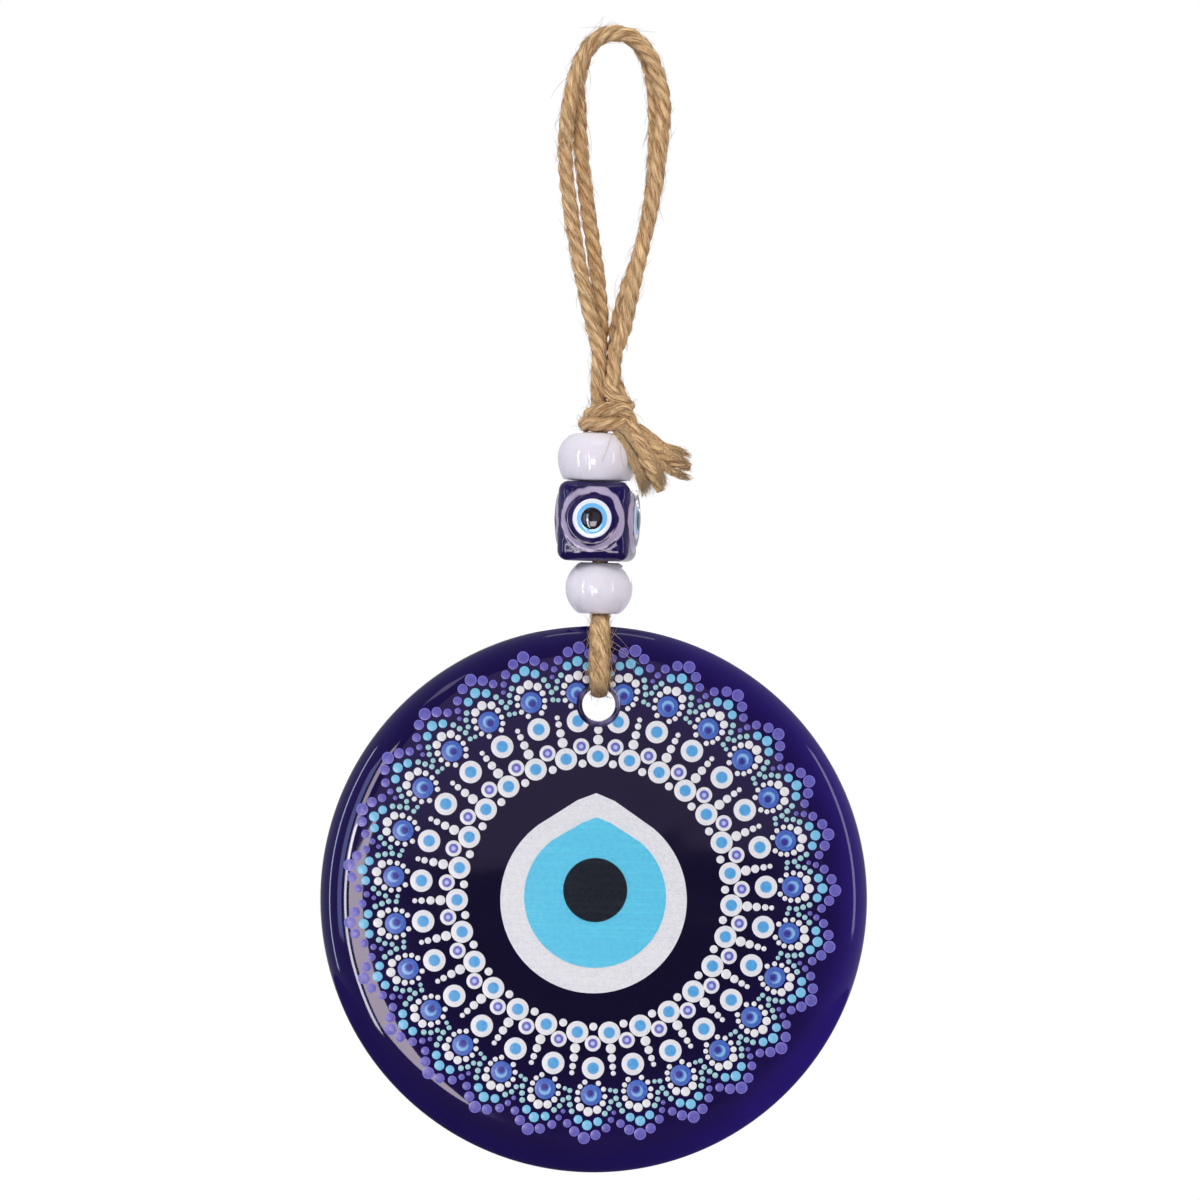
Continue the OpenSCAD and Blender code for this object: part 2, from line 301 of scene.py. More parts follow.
def wall(rows, around, first=0):
    """Faces between neighbouring rings of a tube whose vertices start at first."""
    faces = []
    for i in range(rows - 1):
        for k in range(around):
            a, b = first + i * around + k, first + i * around + (k + 1) % around
            faces.append((a, b, b + around, a + around))
    return faces


def caps(rows, around, first=0):
    """The two faces that close a tube's ends."""
    last = first + (rows - 1) * around
    return [tuple(range(first + around - 1, first - 1, -1)), tuple(range(last, last + around))]


def lathe(profile, segments):
    """Vertices and faces of a profile of (radius, height) turned about Z."""
    verts = []
    for radius, height in profile:
        for k in range(segments):
            turn = 2 * math.pi * k / segments
            verts.append(Vector((radius * math.cos(turn), radius * math.sin(turn), height)))
    return verts, wall(len(profile), segments)


def closed_lathe(profile, segments):
    """A profile loop turned about Z, its last point joined to its first."""
    verts, faces = lathe(profile, segments)
    last = (len(profile) - 1) * segments
    for k in range(segments):
        nxt = (k + 1) % segments
        faces.append((last + k, last + nxt, nxt, k))
    return verts, faces


def capped_lathe(profile, segments):
    """A profile turned about Z, whose first and last rings are closed with flat caps."""
    verts, faces = lathe(profile, segments)
    return verts, faces + caps(len(profile), segments)


def cut(piece, verts, faces):
    """Takes a closed shape away from the piece."""
    mesh = bpy.data.meshes.new("cutter")
    mesh.from_pydata([tuple(v) for v in verts], [], faces)
    cutter = linked("cutter", mesh)
    tool = piece.modifiers.new("cut", "BOOLEAN")
    tool.operation = "DIFFERENCE"
    tool.solver = "EXACT"
    tool.object = cutter
    bpy.context.view_layer.update()
    shaped = piece.evaluated_get(bpy.context.evaluated_depsgraph_get())
    result = bpy.data.meshes.new_from_object(shaped)
    piece.modifiers.remove(tool)
    old = piece.data
    piece.data = result
    bpy.data.meshes.remove(old)
    bpy.data.objects.remove(cutter)
    bpy.data.meshes.remove(mesh)


def smooth_by_angle(piece, degrees):
    mesh = piece.data
    mesh.polygons.foreach_set("use_smooth", [True] * len(mesh.polygons))
    mesh.set_sharp_from_angle(angle=math.radians(degrees))


def rework(piece, action):
    """Runs an editing step on the piece's mesh."""
    work = bmesh.new()
    work.from_mesh(piece.data)
    action(work)
    work.to_mesh(piece.data)
    work.free()


def face_outward(piece):
    rework(piece, lambda work: bmesh.ops.recalc_face_normals(work, faces=work.faces))


def threads(name, lines, material, sides=3):
    """Thin tapered tubes along many lines, each a list of (point, radius), in one mesh."""
    verts, faces, uvs = [], [], []
    for number, line in enumerate(lines):
        first = len(verts)
        across = (line[-1][0] - line[0][0]).orthogonal().normalized()
        run = 0.0
        for i, (point, radius) in enumerate(line):
            ahead = line[min(i + 1, len(line) - 1)][0] - line[max(i - 1, 0)][0]
            ahead.normalize()
            u = (across - ahead * across.dot(ahead)).normalized()
            v = ahead.cross(u)
            run += 0 if i == 0 else (point - line[i - 1][0]).length
            for k in range(sides):
                turn = 2 * math.pi * k / sides
                verts.append(point + radius * (math.cos(turn) * u + math.sin(turn) * v))
                uvs.append((number * 0.371 + k * 0.02, run / (10 * MM)))
        faces += wall(len(line), sides, first) + caps(len(line), sides, first)
    return new_piece(name, verts, faces, material, uvs=uvs, masks=[0.0] * len(verts))


def smooth_route(points, gap):
    """Evenly spaced points on a centripetal spline through the given ones."""
    ends = [points[0] * 2 - points[1]] + points + [points[-1] * 2 - points[-2]]
    fine = []
    for p0, p1, p2, p3 in zip(ends, ends[1:], ends[2:], ends[3:]):
        t1 = math.sqrt((p1 - p0).length)
        t2 = t1 + math.sqrt((p2 - p1).length)
        t3 = t2 + math.sqrt((p3 - p2).length)
        steps = max(4, int((p2 - p1).length / gap) + 1)
        for j in range(steps):
            t = t1 + (t2 - t1) * j / steps
            a1 = p0 * ((t1 - t) / t1) + p1 * (t / t1)
            a2 = p1 * ((t2 - t) / (t2 - t1)) + p2 * ((t - t1) / (t2 - t1))
            a3 = p2 * ((t3 - t) / (t3 - t2)) + p3 * ((t - t2) / (t3 - t2))
            b1 = a1 * ((t2 - t) / t2) + a2 * (t / t2)
            b2 = a2 * ((t3 - t) / (t3 - t1)) + a3 * ((t - t1) / (t3 - t1))
            fine.append(b1 * ((t2 - t) / (t2 - t1)) + b2 * ((t - t1) / (t2 - t1)))
    fine.append(points[-1])
    line = np.array([tuple(p) for p in fine])
    run = np.concatenate([[0], np.cumsum(np.linalg.norm(np.diff(line, axis=0), axis=1))])
    marks = np.linspace(0, run[-1], int(run[-1] / gap) + 1)
    even = np.stack([np.interp(marks, run, line[:, axis]) for axis in range(3)], axis=1)
    return [Vector(p) for p in even], float(run[-1])


def carried_frames(line):
    """Two directions across the line at each point, carried along it without twist."""
    frames = []
    u = (line[1] - line[0]).orthogonal().normalized()
    for i in range(len(line)):
        ahead = (line[min(i + 1, len(line) - 1)] - line[max(i - 1, 0)]).normalized()
        u = (u - ahead * u.dot(ahead)).normalized()
        frames.append((u, ahead.cross(u), ahead))
    return frames


# ---------------------------------------------------------------- shader helpers

class Nodes:
    """A node tree with short ways to add to it."""

    def __init__(self, tree):
        self.tree = tree

    def add(self, kind, **settings):
        node = self.tree.nodes.new(kind)
        for key, value in settings.items():
            setattr(node, key, value)
        return node

    def join(self, source, target):
        self.tree.links.new(source, target)

    def put(self, socket, source):
        """Links a socket, or sets a plain number or colour."""
        if isinstance(source, bpy.types.NodeSocket):
            self.join(source, socket)
        elif socket.type == "RGBA":
            socket.default_value = (*tuple(source)[:3], 1.0)
        else:
            socket.default_value = source

    def group(self, name, **values):
        node = self.add("ShaderNodeGroup")
        node.node_tree = bpy.data.node_groups[name]
        for key, value in values.items():
            node.inputs[key].default_value = value
        return node

    def mix(self, factor, low, high):
        """A colour between low and high, each a colour or a socket."""
        node = self.add("ShaderNodeMix", data_type="RGBA")
        for number, source in ((0, factor), (6, low), (7, high)):
            self.put(node.inputs[number], source)
        return node.outputs[2]

    def maths(self, operation, *values, clamp=False):
        node = self.add("ShaderNodeMath", operation=operation, use_clamp=clamp)
        for socket, value in zip(node.inputs, values):
            self.put(socket, value)
        return node.outputs[0]

    def vector(self, operation, first, second=(0.0, 0.0, 0.0), output=0):
        node = self.add("ShaderNodeVectorMath", operation=operation)
        self.put(node.inputs[0], first)
        self.put(node.inputs[1], second)
        return node.outputs[output]

    def scaled(self, vector, amounts):
        return self.vector("MULTIPLY", vector, amounts)

    def noise(self, vector, scale, **settings):
        """A noise texture's value; settings are its other inputs, by their labels in small letters."""
        node = self.add("ShaderNodeTexNoise")
        self.join(vector, node.inputs["Vector"])
        self.put(node.inputs["Scale"], scale)
        for key, value in settings.items():
            node.inputs[key.title()].default_value = value
        return node.outputs[0]

    def step(self, value, low, high):
        """0 below low, 1 above high, smooth between them."""
        node = self.add("ShaderNodeMapRange", interpolation_type="SMOOTHSTEP")
        for socket, source in zip(node.inputs, (value, low, high)):
            self.put(socket, source)
        return node.outputs[0]

    def split(self, vector):
        node = self.add("ShaderNodeSeparateXYZ")
        self.join(vector, node.inputs[0])
        return node.outputs

    def place(self):
        """Position in the shared frame, in metres."""
        return self.add("ShaderNodeTexCoord").outputs["Object"]


class Finish(Nodes):
    """A material under construction."""

    def __init__(self, name):
        self.material = bpy.data.materials.new(name)
        self.material.use_nodes = True
        super().__init__(self.material.node_tree)
        self.surface = self.tree.nodes["Principled BSDF"]

    def set(self, **values):
        names = {"roughness": "Roughness", "coat": "Coat Weight", "coat_roughness": "Coat Roughness",
                 "ior": "IOR", "sheen": "Sheen Weight", "specular": "Specular IOR Level",
                 "subsurface": "Subsurface Weight", "subsurface_scale": "Subsurface Scale"}
        for key, value in values.items():
            self.surface.inputs[names[key]].default_value = value

    def bump(self, height, strength, distance):
        node = self.add("ShaderNodeBump")
        node.inputs["Strength"].default_value = strength
        node.inputs["Distance"].default_value = distance
        self.join(height, node.inputs["Height"])
        self.join(node.outputs[0], self.surface.inputs["Normal"])

    def colour(self, source):
        self.put(self.surface.inputs["Base Color"], source)

    def rough(self, source):
        self.put(self.surface.inputs["Roughness"], source)

    def uv(self):
        return self.add("ShaderNodeUVMap", uv_map="lay").outputs[0]

    def mottle(self, place, cloud_scale, grain_scale):
        """The mottle effect's cloud and grain."""
        node = self.group("mottle", **{"Cloud Scale": cloud_scale, "Grain Scale": grain_scale})
        self.join(place, node.inputs["Position"])
        return node.outputs["Cloud"], node.outputs["Grain"]

    def scuffed(self, place, base, dull):
        """Roughness with the scuffs effect."""
        node = self.group("scuffs", Base=base, Dull=dull)
        self.join(place, node.inputs["Position"])
        self.rough(node.outputs["Roughness"])

    def mask(self, name):
        return self.add("ShaderNodeAttribute", attribute_name=name).outputs["Fac"]


class Recipe(Nodes):
    """A shader node group under construction; its inputs are labels with numbers, or None for a vector."""

    def __init__(self, name, inputs, outputs):
        super().__init__(bpy.data.node_groups.new(name, "ShaderNodeTree"))
        for label, default in inputs.items():
            kind = "NodeSocketVector" if default is None else "NodeSocketFloat"
            socket = self.tree.interface.new_socket(label, in_out="INPUT", socket_type=kind)
            if default is not None:
                socket.default_value = default
        for label in outputs:
            self.tree.interface.new_socket(label, in_out="OUTPUT", socket_type="NodeSocketFloat")
        self.given = self.add("NodeGroupInput").outputs
        self.outlet = self.add("NodeGroupOutput")

    def give(self, label, source):
        self.join(source, self.outlet.inputs[label])


def build_mottle():
    """Soft cloudy variation and fine grain, for colour and roughness."""
    recipe = Recipe("mottle", {"Position": None, "Cloud Scale": 120.0, "Grain Scale": 1500.0},
                    ("Cloud", "Grain"))
    for label, detail in (("Cloud", 3.0), ("Grain", 2.0)):
        texture = recipe.noise(recipe.given["Position"], recipe.given[label + " Scale"], detail=detail)
        recipe.give(label, recipe.step(texture, 0.3, 0.7))


def build_scuffs():
    """Sparse fine scratches and dull patches that handling leaves on a glossy surface."""
    recipe = Recipe("scuffs", {"Position": None, "Base": 0.06, "Dull": 0.2}, ("Roughness", "Scratch"))
    place = recipe.given["Position"]
    lines = recipe.noise(recipe.scaled(place, (2600.0, 2600.0, 160.0)), 1.0, distortion=0.6)
    patch = recipe.noise(place, 70.0)
    dulled = recipe.maths("MULTIPLY", recipe.step(patch, 0.45, 0.75), recipe.given["Dull"])
    recipe.give("Roughness", recipe.maths("ADD", dulled, recipe.given["Base"]))
    recipe.give("Scratch", recipe.maths("MULTIPLY", recipe.step(lines, 0.68, 0.76),
                                        recipe.step(patch, 0.5, 0.7)))


def build_fibres():
    """Fibres that run along a twisted ply; the map's U goes round it and V along it."""
    recipe = Recipe("fibres", {"Map": None, "Around": 46.0, "Along": 3.0, "Lean": 9.0}, ("Fibre", "Tone"))
    right, along, _ = recipe.split(recipe.given["Map"])
    lean = recipe.maths("MULTIPLY", along, recipe.given["Lean"])
    across = recipe.maths("MULTIPLY", right, recipe.given["Around"])
    join = recipe.add("ShaderNodeCombineXYZ")
    recipe.join(recipe.maths("ADD", across, lean), join.inputs[0])
    recipe.join(recipe.maths("MULTIPLY", along, recipe.given["Along"]), join.inputs[1])
    for label, scale, low, high in (("Fibre", 1.0, 0.38, 0.62), ("Tone", 0.31, 0.35, 0.65)):
        texture = recipe.noise(join.outputs[0], scale, detail=4.0, roughness=0.65)
        recipe.give(label, recipe.step(texture, low, high))


def build_round_mask():
    """1 inside a circle of the dot's own map, 0 outside it."""
    recipe = Recipe("round_mask", {"Map": None, "Right": 0.0, "Out": 0.0, "Radius": 0.5, "Blur": 0.06},
                    ("Mask",))
    middle = recipe.add("ShaderNodeCombineXYZ")
    recipe.join(recipe.given["Right"], middle.inputs[0])
    recipe.join(recipe.given["Out"], middle.inputs[1])
    reach = recipe.vector("DISTANCE", recipe.given["Map"], middle.outputs[0], output="Value")
    past = recipe.maths("SUBTRACT", reach, recipe.given["Radius"])
    share = recipe.maths("DIVIDE", past, recipe.given["Blur"])
    recipe.give("Mask", recipe.maths("SUBTRACT", 0.5, share, clamp=True))


def build_groups():
    for build in (build_mottle, build_scuffs, build_fibres, build_round_mask):
        build()


# ---------------------------------------------------------------- materials

def jute_material(name, settings, laid_up):
    """Jute fibres: a twisted cord's get painted shade in the gaps between its fibres and plies, and painted
    shade where it curves back into the hole; loose ones are plain.
    """
    finish = Finish(name)
    finish.set(sheen=0.12, specular=0.25)
    fibres = finish.group("fibres", Around=24.0, Along=2.2, Lean=-13.0)
    finish.join(finish.uv(), fibres.inputs["Map"])
    fibre = fibres.outputs["Fibre"]
    middle = settings.middle if laid_up else settings.tip
    tone = finish.mix(fibres.outputs["Tone"], middle, settings.light)
    body = finish.mix(finish.maths("MULTIPLY", fibre, 0.75), tone, settings.light)
    if laid_up:
        # painted shade: the dark colour fills the gaps between fibres and the hollows between the plies
        body = finish.mix(finish.step(fibre, -0.05, 0.38), settings.dark, body)
        body = finish.mix(finish.maths("MULTIPLY", finish.mask("hollow_shade"), 0.45), body, settings.dark)
        # painted shade: darker towards the bottom of the bight, where the cord curves back into the hole
        throat_shade = finish.step(finish.split(finish.place())["Z"], -138.5 * MM, -143.5 * MM)
        body = finish.mix(finish.maths("MULTIPLY", throat_shade, 0.8), body, settings.throat_shade)
    finish.colour(body)
    finish.rough(finish.maths("MULTIPLY_ADD", fibre, 0.15, 0.72))
    finish.bump(fibre, 0.9, 0.3 * MM)
    return finish.material


def glass_material(settings):
    """Dark cobalt glass, nearly black in the middle and violet at the thin rim: partly its own colour,
    partly painted light shining through the thinner glass, with more painted light on the right of the rim
    and a painted reflection round the hole.
    """
    finish = Finish("cobalt_glass")
    finish.set(ior=1.5, coat=0.1, coat_roughness=0.03)
    place = finish.place()
    flat = (1.0, 0.0, 1.0)

    def reach_from(centre):
        return finish.vector("LENGTH", finish.scaled(finish.vector("SUBTRACT", place, centre), flat),
                             output="Value")

    radius = reach_from(DISC_CENTRE)
    # partly painted light: the glass grows lighter and more violet from the middle out to the rim, as if
    # backlit through the thinner glass
    body = finish.mix(finish.step(radius, 28 * MM, 54 * MM), settings.middle, settings.outer)
    body = finish.mix(finish.step(radius, 54 * MM, 58.5 * MM), body, settings.rim)
    # painted light: the rim turns lighter violet towards the right, where light shines through the glass
    right = finish.step(finish.split(finish.vector("SUBTRACT", place, DISC_CENTRE))["X"],
                        -10 * MM, 58 * MM)
    thin = finish.maths("MULTIPLY", finish.step(radius, 50 * MM, 59.5 * MM), right)
    body = finish.mix(finish.maths("MULTIPLY", thin, 0.8), body, settings.painted_rim_light)
    cloud, _ = finish.mottle(place, 60.0, 900.0)
    glass = finish.mix(cloud, finish.mix(0.2, body, (0.0, 0.0, 0.02)), body)
    # painted reflection: the mouth of the hole is lightened in cloudy patches where its fillet would
    # reflect the white surround
    lip = finish.step(reach_from(HOLE_CENTRE), 5.2 * MM, 3.9 * MM)
    cloudy = finish.step(finish.noise(place, 330.0), 0.38, 0.72)
    finish.colour(finish.mix(finish.maths("MULTIPLY", lip, cloudy), glass, settings.lip))
    finish.scuffed(place, 0.035, 0.05)
    finish.bump(finish.noise(place, 45.0, detail=1.0), 0.25, 0.6 * MM)
    return finish.material


def ink_material(name, build_colour, roughness=0.22, specular=0.5):
    """Printed ink under a thin gloss, with a little unevenness in its colour."""
    finish = Finish(name)
    finish.set(coat=0.05 if specular > 0.2 else 0.0, coat_roughness=0.05, specular=specular)
    cloud, grain = finish.mottle(finish.place(), 900.0, 5200.0)
    base = build_colour(finish)
    darker = finish.mix(0.3, base, (0.02, 0.02, 0.08))
    blend = finish.maths("MULTIPLY_ADD", grain, 0.65, 0.35)
    finish.colour(finish.mix(blend, darker, base))
    finish.rough(finish.maths("MULTIPLY_ADD", cloud, 0.12, roughness))
    return finish.material


def ringed(*rings):
    """A colour builder: a colour all over, then (radius, colour[, right, out, blur]) circles on it."""
    base, *circles = rings

    def build(finish):
        colour = base
        for radius, tint, *rest in circles:
            right, out, blur = rest if rest else (0.0, 0.0, 0.1)
            mask = finish.group("round_mask", Radius=radius, Right=right, Out=out, Blur=blur)
            finish.join(finish.uv(), mask.inputs["Map"])
            colour = finish.mix(mask.outputs["Mask"], colour, tint)
        return colour
    return build


def banded(colour, streak):
    """A colour builder: faint level streaks left by the print head."""
    def build(finish):
        texture = finish.noise(finish.scaled(finish.place(), (70.0, 70.0, 2200.0)), 1.0)
        return finish.mix(finish.step(texture, 0.45, 0.75), colour, streak)
    return build


def gloss_material(name, colour, tint, roughness, coat=0.5, subsurface=0.0, worn=None, wave=0.0):
    """Moulded or poured gloss: a cloudy tint, faint scuffs, and if asked for waves and a painted reflection
    in the colour worn, laid where the worn mask is high.
    """
    finish = Finish(name)
    finish.set(coat=coat, coat_roughness=0.04, subsurface=subsurface, subsurface_scale=1.5 * MM)
    place = finish.place()
    cloud, _ = finish.mottle(place, 160.0, 2400.0)
    body = finish.mix(finish.maths("MULTIPLY", cloud, 0.5), colour, tint)
    # painted reflection: the ring round each boss takes the lavender colour
    if worn:
        body = finish.mix(finish.step(finish.mask("worn"), 0.25, 0.75), body, worn)
    finish.colour(body)
    finish.scuffed(place, roughness, 0.1)
    if wave:
        finish.bump(finish.noise(place, 260.0, detail=1.5), wave, 0.5 * MM)
    return finish.material


# ---------------------------------------------------------------- cord

def ply_radius(turn, radius):
    """Outline of three round plies laid together."""
    within = (turn % (2 * math.pi / 3)) - math.pi / 3
    offset, ply = 0.33 * radius, 0.67 * radius
    return offset * math.cos(within) + math.sqrt(ply ** 2 - (offset * math.sin(within)) ** 2)


def pressed(point):
    """How far the cord is pressed flat and worn loose: 1 by the disc's upper edge, 0 elsewhere."""
    return math.exp(-((point.z + 134.5 * MM) / (8.2 * MM)) ** 4)


def squashed(point):
    """How far the cord is squashed against the top of the hole: 1 in the hole, 0 elsewhere."""
    low = max(0.0, min(1.0, (-140.5 * MM - point.z) / (2 * MM)))
    return low * math.exp(-(point.y / (5.4 * MM)) ** 4)


def under_load(point, out, settings):
    """The offset of a spot on the cord's skin, widened in front of the disc and flattened in its hole."""
    squash = settings.squash * squashed(point)
    return Vector((out.x * (1 + settings.flattening * pressed(point)), out.y,
                   out.z * (1 - squash) + settings.radius * squash))


def build_cord(settings, material):
    """The whole cord as one twisted three-ply mesh."""
    line, length = smooth_route(cord_route(), settings.ring_gap)
    frames = carried_frames(line)
    around = 24
    taper = 5 * MM
    verts, runs, hollow_shades = [], [], []
    for i, (point, (u, v, ahead)) in enumerate(zip(line, frames)):
        run = i * length / (len(line) - 1)
        twist = -2 * math.pi * run / settings.lay
        to_end = min(run, length - run)
        swell = min(1.0, 0.55 + 0.45 * to_end / taper)
        press = pressed(point)
        runs.append(run / (10 * MM))
        for k in range(around):
            turn = 2 * math.pi * k / around
            crown = ply_radius(turn, settings.radius)
            spot = Vector((math.cos(turn) * 2.2, math.sin(turn) * 2.2, run / (1.6 * MM)))
            rough = noise.noise(spot)
            loose = crown + (0.93 * settings.radius - crown) * 0.7 * press
            reach = loose * swell * (1 + (0.045 + 0.05 * press) * rough)
            out = reach * (math.cos(turn + twist) * u + math.sin(turn + twist) * v)
            verts.append(point + under_load(point, out, settings))
            # painted shade between the plies, less where the cord is pressed open
            hollow_shades.append(max(0.0, 1 - (crown / settings.radius - 0.80) / 0.16) * (1 - 0.7 * press))
    faces = wall(len(line), around) + caps(len(line), around)
    corners = []
    for run, after in zip(runs, runs[1:]):
        for k in range(around):
            here, beside = k / around, (k + 1) / around
            corners += [(here, run), (beside, run), (beside, after), (here, after)]
    corners += [(0.5, 0.0)] * around + [(0.5, runs[-1])] * around
    cord = new_piece("jute_cord", verts, faces, material, masks=hollow_shades, corner_uvs=corners)
    return cord, line, frames, length


def build_fuzz(settings, material, line, frames):
    """Stray fibres that lift off the cord and bend back along it."""
    draw = random.Random(7)
    lines = []
    worn = [i for i, p in enumerate(line) if p.y < 0 and -140.5 * MM < p.z < -126 * MM]
    for number in range(settings.fuzz_count + settings.worn_fuzz_count):
        i = draw.randrange(20, len(line) - 20) if number < settings.fuzz_count else draw.choice(worn)
        u, v, ahead = frames[i]
        turn = draw.uniform(0, 2 * math.pi)
        out = math.cos(turn) * u + math.sin(turn) * v
        side = out.cross(ahead)
        sign = draw.choice((-1, 1))
        reach = draw.uniform(1.2, 3.4) * MM * (2.2 if draw.random() < 0.06 else 1)
        lift = draw.uniform(0.1, 0.7) if draw.random() < 0.35 else draw.uniform(0.02, 0.12)
        sway = draw.uniform(-0.5, 0.5)
        root = line[i] + under_load(line[i], out * settings.radius * 0.93, settings)
        points = []
        for j in range(6):
            t = j / 5
            point = root + ahead * sign * reach * t + out * lift * reach * t * (1.2 - 0.5 * t)
            point += side * sway * reach * t * t
            points.append((point, (0.065 - 0.045 * t) * MM))
        lines.append(points)
    for route in LONG_HAIRS:
        strand, _ = smooth_route(in_metres(route), 0.8 * MM)
        lines.append([(p, (0.075 - 0.045 * i / len(strand)) * MM) for i, p in enumerate(strand)])
    return threads("jute_fuzz", lines, material)


def clear_of_bead(point):
    """Moves a point that would lie inside the upper bead out to just off its side."""
    middle, wide = (UPPER_LOW + UPPER_HIGH) / 2, (UPPER_HIGH.x - UPPER_LOW.x) / 2
    rise = (point.z - middle.z) / ((UPPER_HIGH.z - UPPER_LOW.z) / 2)
    if abs(rise) > 1.05:
        return point
    away = Vector((point.x - middle.x, point.y - middle.y, 0))
    skin = wide * math.sqrt(1 - 0.62 * min(1.0, rise * rise)) + 0.15 * MM
    if away.length < skin:
        away = away.normalized() * skin
    return Vector((middle.x + away.x, middle.y + away.y, point.z))


def fray(name, route, widths, depths, slant, count, seed, material):
    """Loose fibres of a cord's end; widths and depths are half sizes at even steps of the route."""
    draw = random.Random(seed)
    line, _ = smooth_route(in_metres(route), 0.5 * MM)
    depth_way = Vector((0, 1, 0))
    clumps = [(draw.uniform(-0.9, 0.9), draw.uniform(-0.8, 0.8)) for _ in range(9)]
    lines = []
    for _ in range(count):
        turn, share = draw.uniform(0, 2 * math.pi), math.sqrt(draw.random())
        a, b = math.cos(turn) * share, math.sin(turn) * share
        near = min(clumps, key=lambda c: (c[0] - a) ** 2 + (c[1] - b) ** 2)
        start, stop = draw.uniform(0.0, 0.22), draw.triangular(0.74, 1.0, 0.93)
        stop -= (0.5 + 0.5 * a) * slant * 0.16
        stop -= 0.13 * min(1.0, 1.6 * math.hypot(near[0] - a, near[1] - b))
        wave, phase = draw.gauss(0, 0.12), draw.uniform(0, 6.3)
        points = []
        for j in range(13):
            t = start + (stop - start) * j / 12
            spot = t * (len(line) - 1)
            i = min(int(spot), len(line) - 2)
            point = line[i].lerp(line[i + 1], spot - i)
            ahead = (line[i + 1] - line[i]).normalized()
            side = ahead.cross(depth_way).normalized()
            gather = 0.55 * math.sin(math.pi * t) + 0.25 * t
            a_now = a + (near[0] - a) * gather + wave * math.sin(phase + 7 * t)
            b_now = b + (near[1] - b) * gather
            wide, deep = (np.interp(t * (len(sizes) - 1), range(len(sizes)), sizes) * MM
                          for sizes in (widths, depths))
            point = clear_of_bead(point + side * a_now * wide + depth_way * b_now * deep)
            points.append((point, (0.11 - 0.08 * (j / 12) ** 2) * MM))
        lines.append(points)
    return threads(name, lines, material, sides=4)


# ---------------------------------------------------------------- glass and print

def face_height(radius, rim):
    """Half thickness of the glass at a radius: flat, then falling ever more steeply to the edge."""
    past = max(0.0, min(1.0, (radius - (DISC_RADIUS - rim)) / rim))
    return DISC_HALF * math.sqrt(1 - past ** 2.3)


def disc_profile(rim):
    """Half outline of the disc, from the middle of its back to the middle of its front."""
    flat = DISC_RADIUS - rim
    steps = 40
    inner = [flat * share for share in (0.02, 0.25, 0.5, 0.75, 0.9)]
    radii = [flat + rim * math.sin(math.pi / 2 * i / steps) for i in range(steps + 1)]
    edge = [(r, face_height(r, rim)) for r in radii]
    back = [(r, -DISC_HALF) for r in inner] + [(r, -h) for r, h in edge]
    return back + edge[-2::-1] + [(r, DISC_HALF) for r in reversed(inner)]


def build_disc(settings, material):
    verts, faces = capped_lathe(disc_profile(settings.rim_width), 192)
    stand = Matrix.Rotation(math.radians(90), 4, "X")
    disc = new_piece("glass_plate", [stand @ v + DISC_CENTRE for v in verts], faces, material)
    face_outward(disc)
    steps = 8
    wide = HOLE_RADIUS + HOLE_LIP
    past = DISC_HALF + 1 * MM
    lip = [(wide - HOLE_LIP * math.sin(math.pi / 2 * i / steps),
            DISC_HALF - HOLE_LIP + HOLE_LIP * math.cos(math.pi / 2 * i / steps))
           for i in range(steps + 1)]
    profile = [(wide, past)] + lip + [(r, -h) for r, h in reversed(lip)] + [(wide, -past)]
    verts, faces = capped_lathe(profile, 72)
    cut(disc, [stand @ v + HOLE_CENTRE for v in verts], [tuple(reversed(f)) for f in faces])
    face_outward(disc)
    smooth_by_angle(disc, 40)
    return disc


PETALS = 27
DOT_UNIT = 0.2194 * MM

# one petal of the pattern: (sideways, outward, radius) in dot units, sideways positive clockwise
PURPLE_DOTS = [(7.7, 244.5, 6.0), (-3.9, 241.2, 5.0), (17.5, 237.8, 5.0), (-14.4, 234.0, 4.3),
               (24.7, 229.7, 4.1), (-19.2, 225.6, 3.0), (-22.0, 218.3, 2.2)]
CYAN_DOTS = [(4.7, 231.4, 5.0), (-5.9, 227.6, 4.3), (13.8, 225.5, 4.3)]
MINT_DOTS = [(-12.9, 219.3, 2.8), (-17.2, 213.8, 2.6), (-18.9, 207.1, 2.5), (-18.0, 195.3, 2.2),
             (20.3, 217.4, 2.8), (22.2, 210.6, 2.8), (23.6, 203.7, 2.7), (22.5, 196.3, 2.5)]
WHITE_DOTS = [(3.9, 217.6, 4.6), (-5.2, 215.4, 4.1), (12.1, 213.0, 4.0), (-10.6, 208.9, 3.0),
              (14.8, 205.5, 2.9), (-12.7, 202.0, 2.5), (14.5, 198.1, 2.5), (-11.2, 194.6, 2.5),
              (12.3, 192.2, 2.5), (-6.0, 188.6, 2.6), (7.6, 187.6, 2.6), (0.0, 131.3, 4.0)]
EYE_DOTS = [(1.0, 200.5, 10.5)]
OUTER_RINGED = [(-0.4, 173.3, 11.2)]
VIOLET_DOTS = [(0.3, 148.3, 8.0)]
# the same, on the lines between petals
SPOKE_DOTS = [(0, 154.3, 4.9), (0, 164.0, 4.1), (0, 172.8, 3.2), (0, 179.4, 2.5)]
INNER_RINGED = [(0, 138.0, 11.0)]


def laid(place):
    """Where a spot of the artwork lands: the transfer was pressed on a little turned and stretched."""
    x, z = place.x / MM, place.z / MM
    right = 0.397 + 0.993 * x - 0.0093 * z - 0.00031 * x * x
    up = 0.951 + 0.0059 * x + 1.0005 * z + 0.00026 * x * x - 0.00013 * x * z + 0.00022 * z * z
    return DISC_CENTRE + Vector((right, 0, up)) * MM


